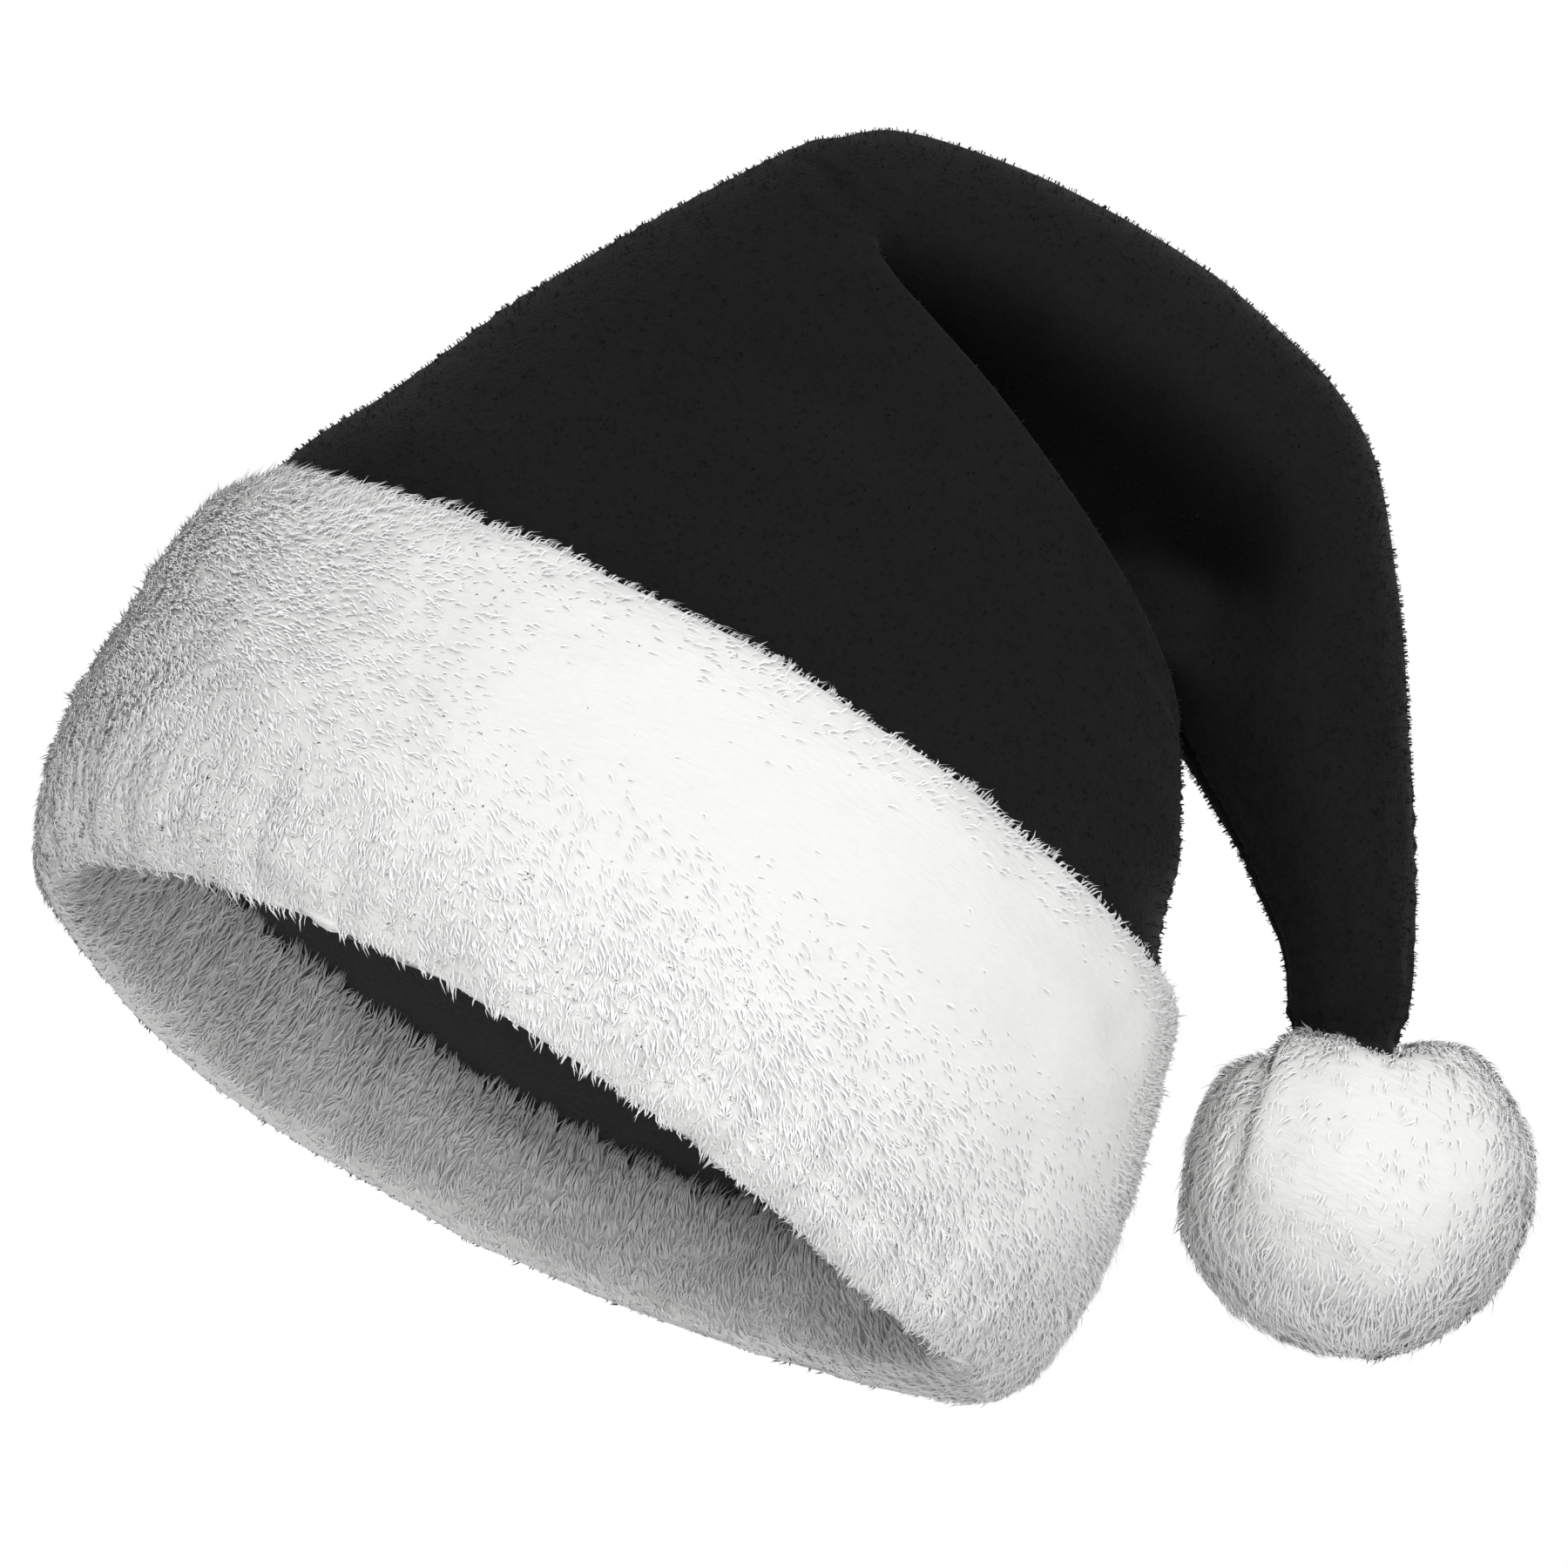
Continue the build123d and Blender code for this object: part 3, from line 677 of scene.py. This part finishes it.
# ---- Pompom: white plush gathered over stuffing ----
# A round of the same long-pile plush, gathered by a thread over loose fibre, which leaves a fold
# down one side. It is sewn to the tail's end with a thread tack.
pompom_centre = np.array([158.7, 0.0, 73.0])
pompom_radius, pompom_pile_height = 36.7, 1.2
side = np.array([-hang[2], 0.0, hang[0]])
front = np.array([0.0, -1.0, 0.0])
pole_rows, pole_turns = 84, 168
polar = np.linspace(0.02, np.pi - 0.02, pole_rows)[:, None, None]
turn = (np.arange(pole_turns) * 2 * np.pi / pole_turns)[None, :, None]
ball = -hang * np.cos(polar) + (side * np.cos(turn) + front * np.sin(turn)) * np.sin(polar)
# The gathered fold: a crease down one side, where a flap of the round overlaps a lower lobe
crease_axis, crease_at = np.array([-0.9386, 0.3090, -0.1535]), 0.542
past_crease = (ball @ crease_axis - crease_at) * pompom_radius
from_top = polar[..., 0]
creased = smoothstep(from_top, 0.45, 0.80) * (1 - smoothstep(from_top, 1.35, 1.9))
groove = -4.5 * np.exp(-(((past_crease - 1.5) / 2.4) ** 2))
lower_lobe = -1.6 * smoothstep(past_crease, -0.5, 1.5)
flap = 1.2 * np.exp(-(((past_crease + 4.0) / 4.0) ** 2))
dent = creased * (groove + lower_lobe + flap)
# The top is pulled in under the tail, with a notch for each point of the tail's end
notch = np.exp(-(((ball @ side - 0.05) / 0.2) ** 2)) * (1 - smoothstep(from_top, 0.78, 1.02))
dimple = 8.0 * (1 - smoothstep(from_top, 0.38, 0.88))
dent = dent - dimple - 4.0 * notch * smoothstep(from_top, 0.2, 0.7)
u, v = np.meshgrid(np.arange(pole_turns) / pole_turns, np.linspace(0, 1, pole_rows))
dent = dent + 0.6 * soft_noise(u, v, 9, 6, 41) + 0.5 * soft_noise(u, v, 22, 14, 42)
ball_grid = pompom_centre + ball * (pompom_radius - pompom_pile_height + dent)[..., None]
pompom = tube_object("pompom_plush", ball_grid, white_plush, 1.6)
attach(pompom, "pompom")
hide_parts("pompom_cover")
# Its two faces are stroked smooth, the rim stands up
stroked = smoothstep(np.abs(ball[..., 1]), 0.45, 0.9) * smoothstep(from_top, 0.7, 1.1)
ball_lean = np.interp(from_top, [0.0, 0.6, 1.0, 2.7, 3.1], [1.2, 1.4, 1.46, 1.40, 1.3])
ball_lean = ball_lean + 0.12 * stroked
ball_length = np.interp(from_top, [0.0, 0.6, 1.0, 2.6, 3.1], [3.0, 4.0, 4.8, 4.8, 3.0])
ball_length = ball_length * (1 - 0.25 * stroked)
ball_weight = smoothstep(from_top, 0.48, 0.62) * (1 - smoothstep(notch, 0.3, 0.8))
ball_weight = ball_weight * (1 - 0.9 * stroked)
ball_strands, ball_comb, ball_gather, ball_swirl, ball_clump = 10500, 1.45, 0.35, 0.7, 6
strands = combed_pile(ball_grid, ball_strands, 51, ball_comb, ball_lean, ball_length, ball_gather,
                      strand_width, ball_swirl, ball_clump, ball_weight)
out_of_lobe = 1 - smoothstep(strands[-1] @ crease_axis, 0.35, 0.70)
pompom_pile = pile_object("pompom_pile", *strands[2:], 0.84 + 0.13 * out_of_lobe, white_fibre)
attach(pompom_pile, "pompom")

# ---- Threads and stuffing inside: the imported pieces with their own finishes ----
# Spun polyester thread that gathers the pompom and ties it to the tail, and loose white fibre
# that fills it. They lie out of sight under the pile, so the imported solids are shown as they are.
white_thread = plush_material("white_thread", (0.70, 0.70, 0.68), (0.85, 0.85, 0.83), 0.2, 0.8)
black_thread = plush_material("black_thread", (0.008, 0.008, 0.008), (0.02, 0.02, 0.02), 0.2, 0.8)
loose_fibre = plush_material("loose_fibre", (0.75, 0.75, 0.75), (0.9, 0.9, 0.9), 0.3, 1.0)
for node, material in (("pompom_gathering_thread", white_thread), ("pompom_tack_knot", black_thread),
                       ("pompom_stuffing", loose_fibre)):
    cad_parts[node].data.materials.clear()
    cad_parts[node].data.materials.append(material)

# ---- Floor, light and camera ----
# The hat hangs free in a plain white studio over a pale painted floor, seen a little from below
# and leaning to the right. Four square soft boxes and an even white surround light it.
floor_mesh = bpy.data.meshes.new("floor")
reach, floor_height = 25.0, -0.62
floor_mesh.from_pydata([(-reach, -reach, floor_height), (reach, -reach, floor_height),
                        (reach, reach, floor_height), (-reach, reach, floor_height)], [], [(0, 1, 2, 3)])
floor = bpy.data.objects.new("floor", floor_mesh)
bpy.context.scene.collection.objects.link(floor)
pale = bpy.data.materials.new("floor_paint")
pale.use_nodes = True
pale.node_tree.nodes["Principled BSDF"].inputs["Base Color"].default_value = (0.82, 0.82, 0.82, 1)
pale.node_tree.nodes["Principled BSDF"].inputs["Roughness"].default_value = 0.9
floor_mesh.materials.append(pale)

world = bpy.data.worlds.new("studio")
bpy.context.scene.world = world
world.use_nodes = True
nodes, links = world.node_tree.nodes, world.node_tree.links
nodes.clear()
# The camera, mirrors and glass see plain white, and the soft surround lights everything else
rays = nodes.new("ShaderNodeLightPath")
soft, white = nodes.new("ShaderNodeBackground"), nodes.new("ShaderNodeBackground")
soft.inputs["Color"].default_value = (0.95, 0.97, 1.0, 1)
soft.inputs["Strength"].default_value = 0.42
white.inputs["Color"].default_value = (1, 1, 1, 1)
white.inputs["Strength"].default_value = 1.0
seen = nodes.new("ShaderNodeMath")
seen.operation = "ADD"
seen.use_clamp = True
seen_too = nodes.new("ShaderNodeMath")
seen_too.operation = "ADD"
seen_too.use_clamp = True
mix = nodes.new("ShaderNodeMixShader")
out = nodes.new("ShaderNodeOutputWorld")
links.new(rays.outputs["Is Camera Ray"], seen.inputs[0])
links.new(rays.outputs["Is Glossy Ray"], seen.inputs[1])
links.new(seen.outputs["Value"], seen_too.inputs[0])
links.new(rays.outputs["Is Transmission Ray"], seen_too.inputs[1])
links.new(seen_too.outputs["Value"], mix.inputs["Fac"])
links.new(soft.outputs["Background"], mix.inputs[1])
links.new(white.outputs["Background"], mix.inputs[2])
links.new(mix.outputs["Shader"], out.inputs["Surface"])

# Where the lamps and the camera look, in metres
target = np.array([0.0171, 0.0, 0.0958])


def lamp(name, direction, distance, size, power):
    """A square soft box that looks at the hat from a direction."""
    data = bpy.data.lights.new(name, "AREA")
    data.size, data.energy = size, power
    light = bpy.data.objects.new(name, data)
    bpy.context.scene.collection.objects.link(light)
    away = np.array(direction) / np.linalg.norm(direction)
    light.location = target + away * distance
    aside = np.cross([0.0, 0.0, 1.0], away)
    aside /= np.linalg.norm(aside)
    turned = Matrix((aside, np.cross(away, aside), away)).transposed()
    light.rotation_euler = turned.to_euler()


lamp("key", (0.30, -0.82, 0.48), 1.6, 1.1, 11.0)
lamp("side", (-0.34, -0.93, 0.12), 1.6, 1.0, 11.0)
lamp("fill", (0.40, -0.74, -0.54), 1.6, 1.0, 17.5)
lamp("back", (0.3, 0.85, 0.45), 2.0, 1.4, 9.0)

below, roll = np.radians(16.5), np.radians(26.0)
forward = np.array([0.0, np.cos(below), np.sin(below)])
level = np.array([1.0, 0.0, 0.0])
upright = np.array([0.0, -np.sin(below), np.cos(below)])
right = np.cos(roll) * level + np.sin(roll) * upright
up = np.cos(roll) * upright - np.sin(roll) * level
camera_data = bpy.data.cameras.new("camera")
camera_data.sensor_width = 36.0
camera_data.lens = 166.4
camera = bpy.data.objects.new("camera", camera_data)
bpy.context.scene.collection.objects.link(camera)
camera_distance = 1.5
camera.location = target - forward * camera_distance
camera.rotation_euler = Matrix((right, up, -forward)).transposed().to_euler()
bpy.context.scene.camera = camera
bpy.context.scene.view_settings.view_transform = "Standard"
